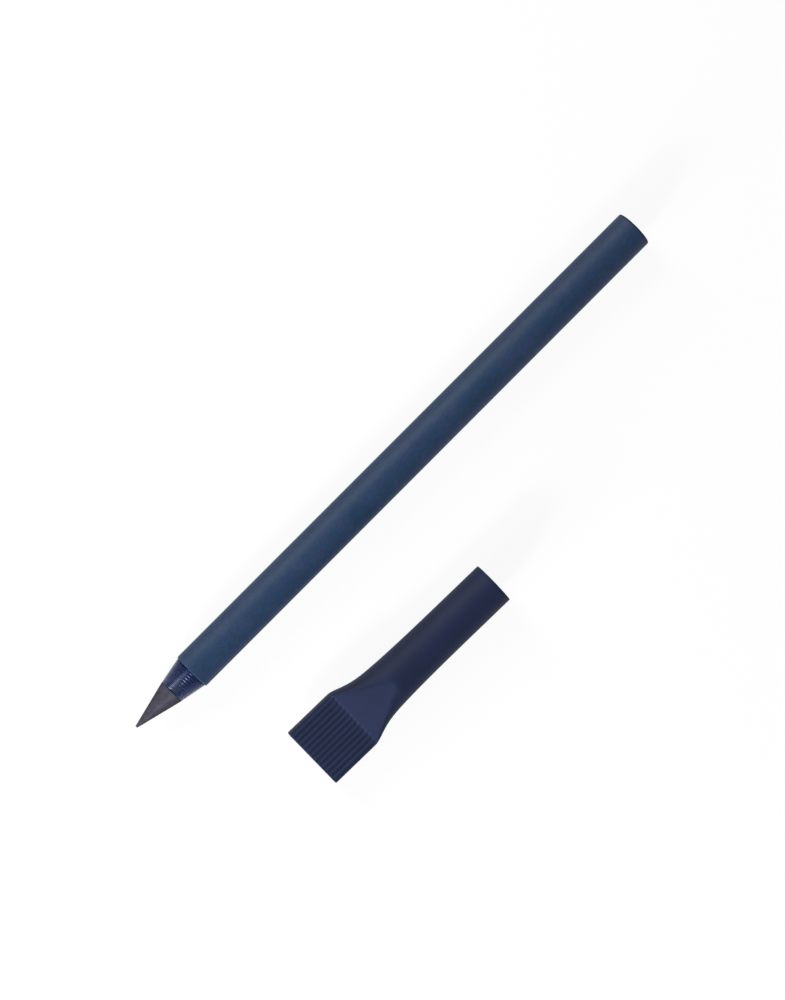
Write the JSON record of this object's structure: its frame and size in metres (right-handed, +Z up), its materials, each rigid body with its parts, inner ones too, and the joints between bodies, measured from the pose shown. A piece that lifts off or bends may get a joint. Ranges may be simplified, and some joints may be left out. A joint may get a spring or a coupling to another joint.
{
  "type": "inkless pencil",
  "caption": "Round paper-barrel pencil with a conical graphite-alloy tip in a translucent collar, and a push-on cap with a flat ribbed end lying beside it.",
  "frame": {"origin": "on the surface that the pencil and cap lie on, under the middle of the pair's bounding box", "axes": "+X along the pencil from its writing tip to its rear end, +Z up, +Y from the cap towards the pencil"},
  "size_m": [0.1392, 0.0402, 0.0098],
  "materials": {
    "navy_paper": "matte recycled paper with fine fibres",
    "paper_board": "raw cut plies",
    "tinted_plastic": "translucent navy, smooth",
    "graphite_alloy": "dark purple-grey graphite alloy, satin",
    "navy_plastic": "satin moulded navy"
  },
  "bodies": {
    "pencil": {"barrel_core": "paper_board", "barrel_wrap": "navy_paper", "nose_collar": "tinted_plastic", "rear_plug": "navy_plastic"},
    "tip": {"writing_tip": "graphite_alloy"},
    "cap": {"cap_shell": "navy_plastic"}
  },
  "joints": [
    {"name": "cap_slide", "type": "slide", "parent": "pencil", "child": "cap", "axis": [-0.945, 0.3271, 0], "range_m": [0, 0.0923]},
    {"name": "tip_unscrew", "type": "slide", "parent": "pencil", "child": "tip", "axis": [-1, 0, 0], "range_m": [0, 0.0115]}
  ]
}
